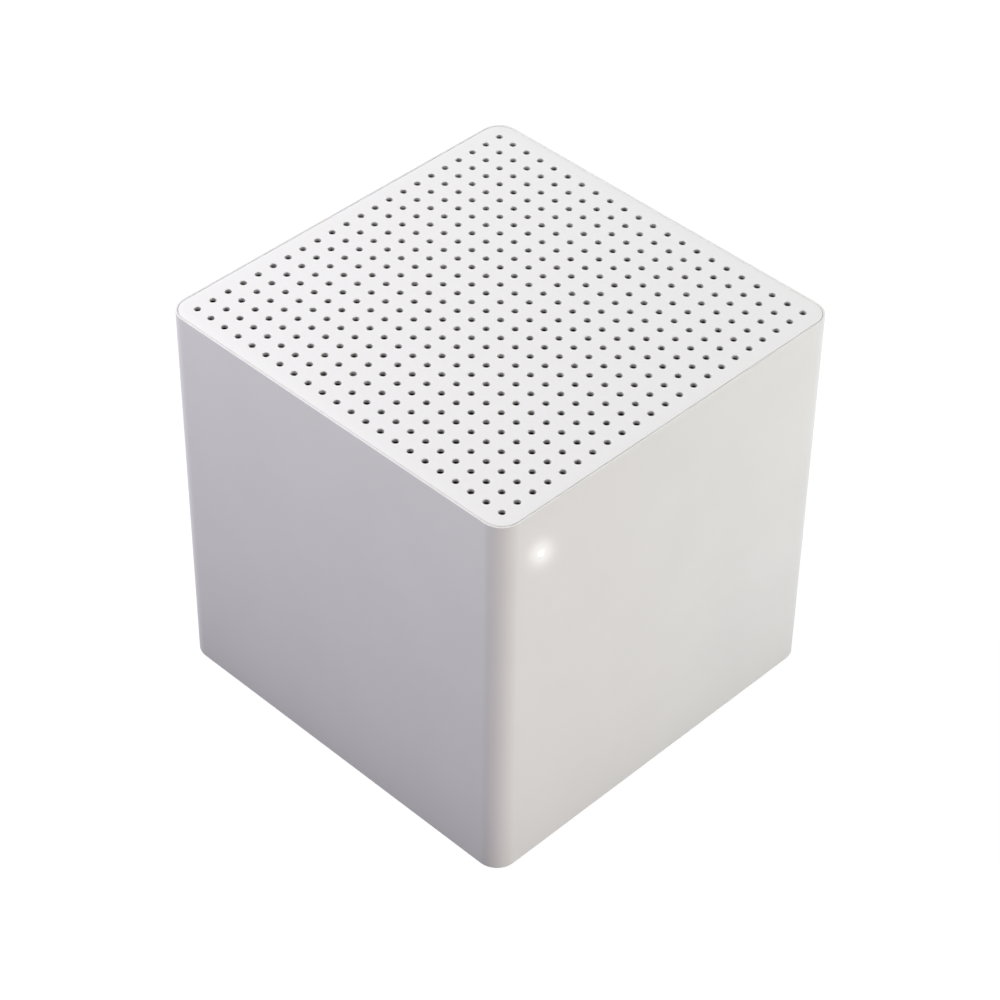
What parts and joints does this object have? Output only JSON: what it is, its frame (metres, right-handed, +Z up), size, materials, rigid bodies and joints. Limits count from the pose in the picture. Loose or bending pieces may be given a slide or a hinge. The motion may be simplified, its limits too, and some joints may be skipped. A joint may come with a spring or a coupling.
{
  "type": "smart speaker",
  "caption": "Small cube-shaped smart speaker with a perforated flat top over an upward-facing driver, a status light, charging socket, buttons and rubber feet.",
  "frame": {"origin": "centre of the square on the table under the four feet", "axes": "+Z up through the perforated top; -Y towards the front face with the status light; +Y towards the rear face with the socket and buttons; +X to the right as seen from the front"},
  "size_m": [0.085, 0.085, 0.085],
  "materials": {
    "white_plastic": "fine satin texture",
    "white_grille": "fine satin white coating on perforated sheet",
    "black_cloth": "open-weave acoustic cloth",
    "black_plastic": "moulded, matt",
    "grey_rubber": "matt",
    "steel": "zinc plated",
    "black_steel": "black coated pressing",
    "ferrite": "sintered, matt",
    "foam": "soft foam and rubber",
    "paper_cone": "pressed paper",
    "copper_coil": "wound copper wire",
    "spider_cloth": "resin-dipped woven cloth",
    "green_board": "circuit board with solder mask",
    "aluminium": "satin",
    "cell_wrap": "shrink wrap",
    "clear_plastic": "clear, lit white",
    "cable_jacket": "smooth jacket"
  },
  "bodies": {
    "housing": {"amplifier_heatsink": "aluminium", "baffle_plate": "black_plastic", "baffle_screw_front_left": "steel", "baffle_screw_front_right": "steel", "baffle_screw_rear_left": "steel", "baffle_screw_rear_right": "steel", "base_plate": "white_plastic", "base_screw_front_left": "steel", "base_screw_front_right": "steel", "base_screw_rear_left": "steel", "base_screw_rear_right": "steel", "battery_cell_front": "cell_wrap", "battery_cell_rear": "cell_wrap", "battery_clamp": "black_plastic", "battery_lead": "cable_jacket", "battery_protection_board": "green_board", "battery_tray": "black_plastic", "board_screw_left": "steel", "board_screw_right": "steel", "driver_basket": "black_steel", "driver_gasket": "foam", "driver_magnet": "ferrite", "driver_screw_front_left": "steel", "driver_screw_front_right": "steel", "driver_screw_rear_left": "steel", "driver_screw_rear_right": "steel", "driver_spider": "spider_cloth", "driver_surround": "foam", "driver_terminal": "green_board", "driver_top_plate": "steel", "driver_yoke": "steel", "foot_front_left": "grey_rubber", "foot_front_right": "grey_rubber", "foot_rear_left": "grey_rubber", "foot_rear_right": "grey_rubber", "front_board": "green_board", "front_board_lead": "cable_jacket", "grille_cloth": "black_cloth", "grille_plate": "white_grille", "housing_shell": "white_plastic", "light_pipe": "clear_plastic", "main_board": "green_board", "microphone_boot_left": "grey_rubber", "microphone_boot_right": "grey_rubber", "microphone_left": "steel", "microphone_right": "steel", "pairing_switch": "black_steel", "power_switch": "black_steel", "reservoir_capacitor": "aluminium", "speaker_lead": "cable_jacket", "status_led": "clear_plastic", "usb_socket_shell": "steel", "usb_socket_tongue": "black_plastic", "wifi_module": "aluminium"},
    "cone": {"driver_cone": "paper_cone", "driver_dust_cap": "paper_cone", "driver_voice_coil": "copper_coil"},
    "power_button": {"power_button": "white_plastic"},
    "pairing_button": {"pairing_button": "white_plastic"}
  },
  "joints": [
    {"name": "cone_travel", "type": "slide", "parent": "housing", "child": "cone", "axis": [0, 0, 1], "range_m": [-0.0015, 0.0015], "stiffness_N_per_m": 1200, "deforming": ["driver_surround", "driver_spider"]},
    {"name": "power_button_press", "type": "slide", "parent": "housing", "child": "power_button", "axis": [0, -1, 0], "range_m": [0, 0.0004], "stiffness_N_per_m": 2500, "springref_m": -0.0004},
    {"name": "pairing_button_press", "type": "slide", "parent": "housing", "child": "pairing_button", "axis": [0, -1, 0], "range_m": [0, 0.0004], "stiffness_N_per_m": 2500, "springref_m": -0.0004}
  ]
}
